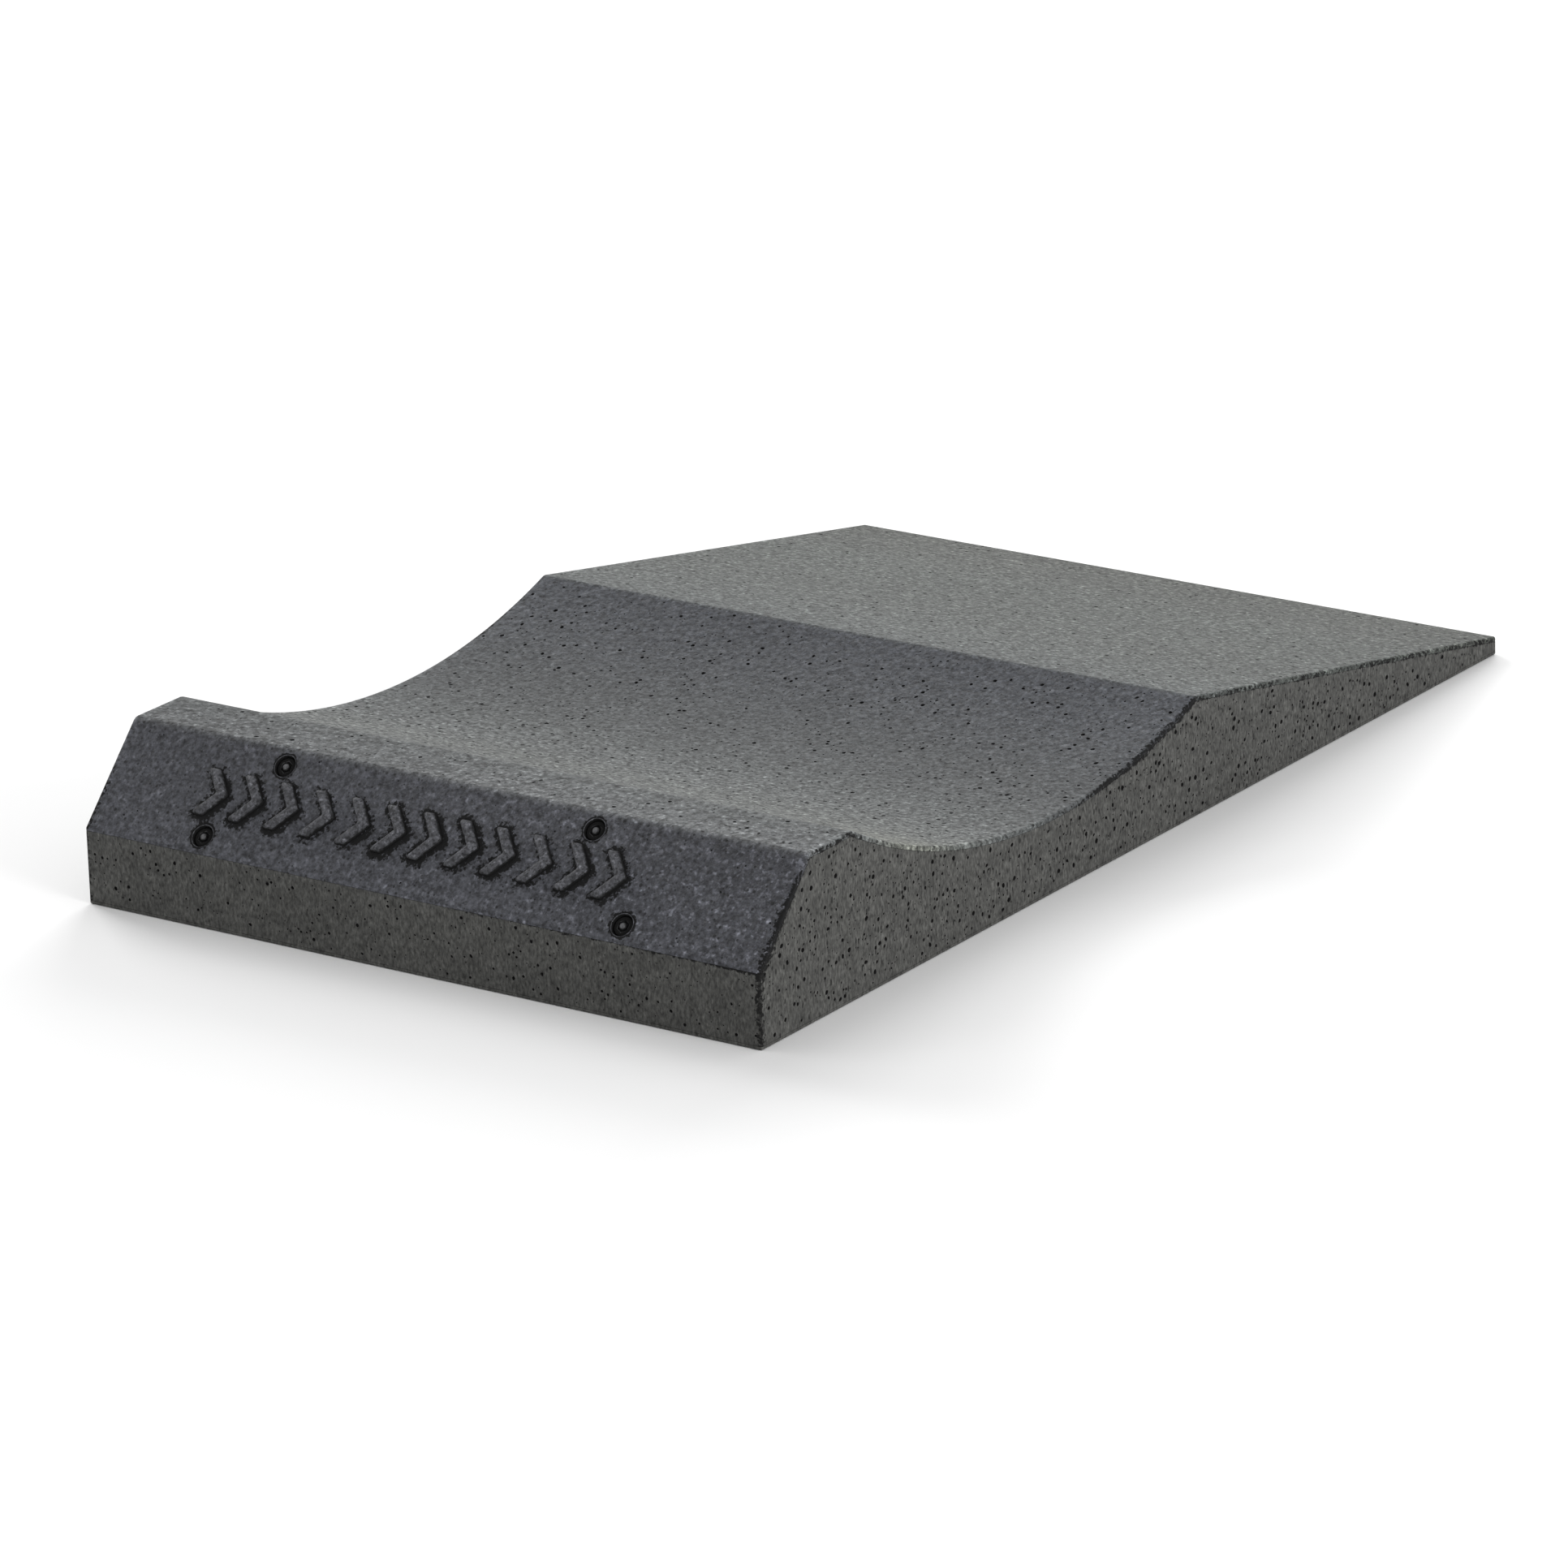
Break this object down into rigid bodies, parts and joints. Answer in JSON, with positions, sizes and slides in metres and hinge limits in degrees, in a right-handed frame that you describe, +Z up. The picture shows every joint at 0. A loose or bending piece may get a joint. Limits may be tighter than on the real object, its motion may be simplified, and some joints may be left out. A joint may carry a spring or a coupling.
{
  "type": "tyre cradle",
  "caption": "Low foam tyre cradle with a hard charcoal coat: a bevelled nose, a dished seat for a parked tyre and a long ramp to a thin tail.",
  "frame": {"origin": "middle of the underside, halfway across the width and halfway from nose to tail", "axes": "+X across the width, +Y from the bevelled nose to the thin tail, +Z up"},
  "size_m": [0.356, 0.603, 0.075],
  "materials": {
    "foam": "bare expanded foam, inside and not seen",
    "tread": "sprayed charcoal hard coat, fine grain, small pits",
    "side": "charcoal hard coat, smoother than the tread, scattered pits",
    "base": "charcoal hard coat, smooth and flat",
    "badge": "moulded charcoal plastic, coated over",
    "screw": "dark, coated over, dull",
    "plug": "black moulded plastic, inside and not seen"
  },
  "bodies": {
    "root": {"foam_core": "foam", "tread_coat": "tread", "side_coat": "side", "base_coat": "base", "badge_plate": "badge", "badge_screw_lower_left": "screw", "badge_screw_lower_right": "screw", "badge_screw_upper_left": "screw", "badge_screw_upper_right": "screw", "foam_plug_lower_left": "plug", "foam_plug_lower_right": "plug", "foam_plug_upper_left": "plug", "foam_plug_upper_right": "plug"}
  },
  "joints": []
}
